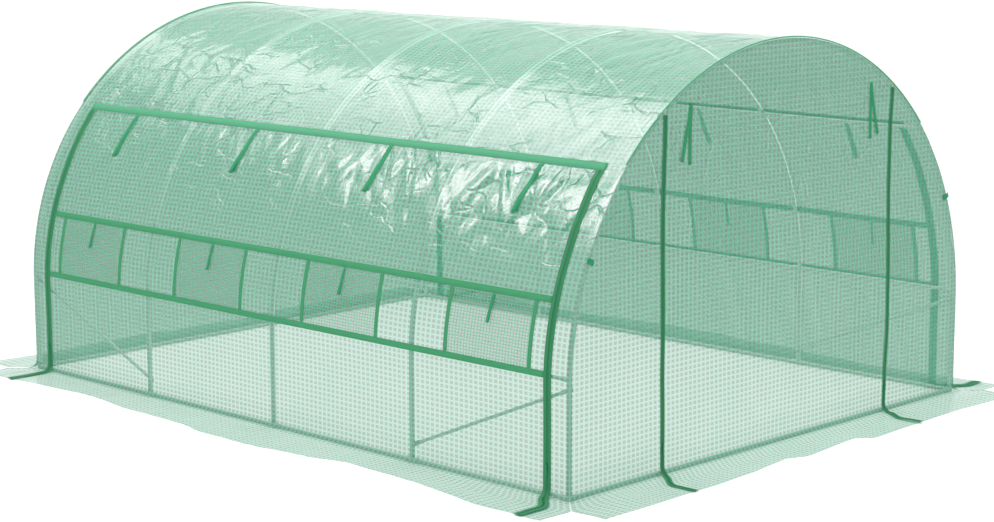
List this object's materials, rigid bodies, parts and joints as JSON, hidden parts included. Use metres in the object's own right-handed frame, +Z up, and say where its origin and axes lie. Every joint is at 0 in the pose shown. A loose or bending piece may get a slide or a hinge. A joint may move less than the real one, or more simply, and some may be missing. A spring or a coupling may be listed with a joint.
{
  "type": "polytunnel greenhouse",
  "caption": "Walk-in tunnel greenhouse: arched tube hoops, rails and braces under a reinforced film cover with mesh windows, zips and ground skirts.",
  "frame": {"origin": "on the floor, in the middle of the tunnel's plan", "axes": "+Y along the tunnel from the door end to the closed end, +X across it, +Z up"},
  "size_m": [3.59, 4.58, 1.9723],
  "materials": {
    "tube": "satin",
    "film": "gloss",
    "mesh": "matte",
    "tape": "matte",
    "trim": "matte"
  },
  "bodies": {
    "root": {"hoop_1": "tube", "hoop_2": "tube", "hoop_3": "tube", "hoop_4": "tube", "hoop_5": "tube", "ridge_rail": "tube", "shoulder_rail_left": "tube", "shoulder_rail_right": "tube", "mid_rail_left": "tube", "mid_rail_right": "tube", "base_rail_left": "tube", "base_rail_right": "tube", "end_rail_front": "tube", "end_rail_back": "tube", "braces_left": "tube", "braces_right": "tube", "roof_sheet": "film", "side_panel_left": "film", "side_panel_right": "film", "corner_strip_left_front": "film", "corner_strip_left_back": "film", "corner_strip_right_front": "film", "corner_strip_right_back": "film", "front_panel_left": "film", "door_panel": "film", "front_panel_right": "film", "back_panel": "film", "skirt_left": "film", "skirt_right": "film", "skirt_front": "film", "skirt_back": "film", "windows_left": "mesh", "windows_right": "mesh", "window_band_left": "tape", "window_band_right": "tape", "seam_tape_left": "tape", "seam_tape_right": "tape", "side_zips_left": "trim", "side_zips_right": "trim", "door_zips": "trim", "roll_ties": "trim", "window_ties": "trim", "door_ties": "trim", "piping": "tape", "edge_tabs": "trim"}
  },
  "joints": []
}
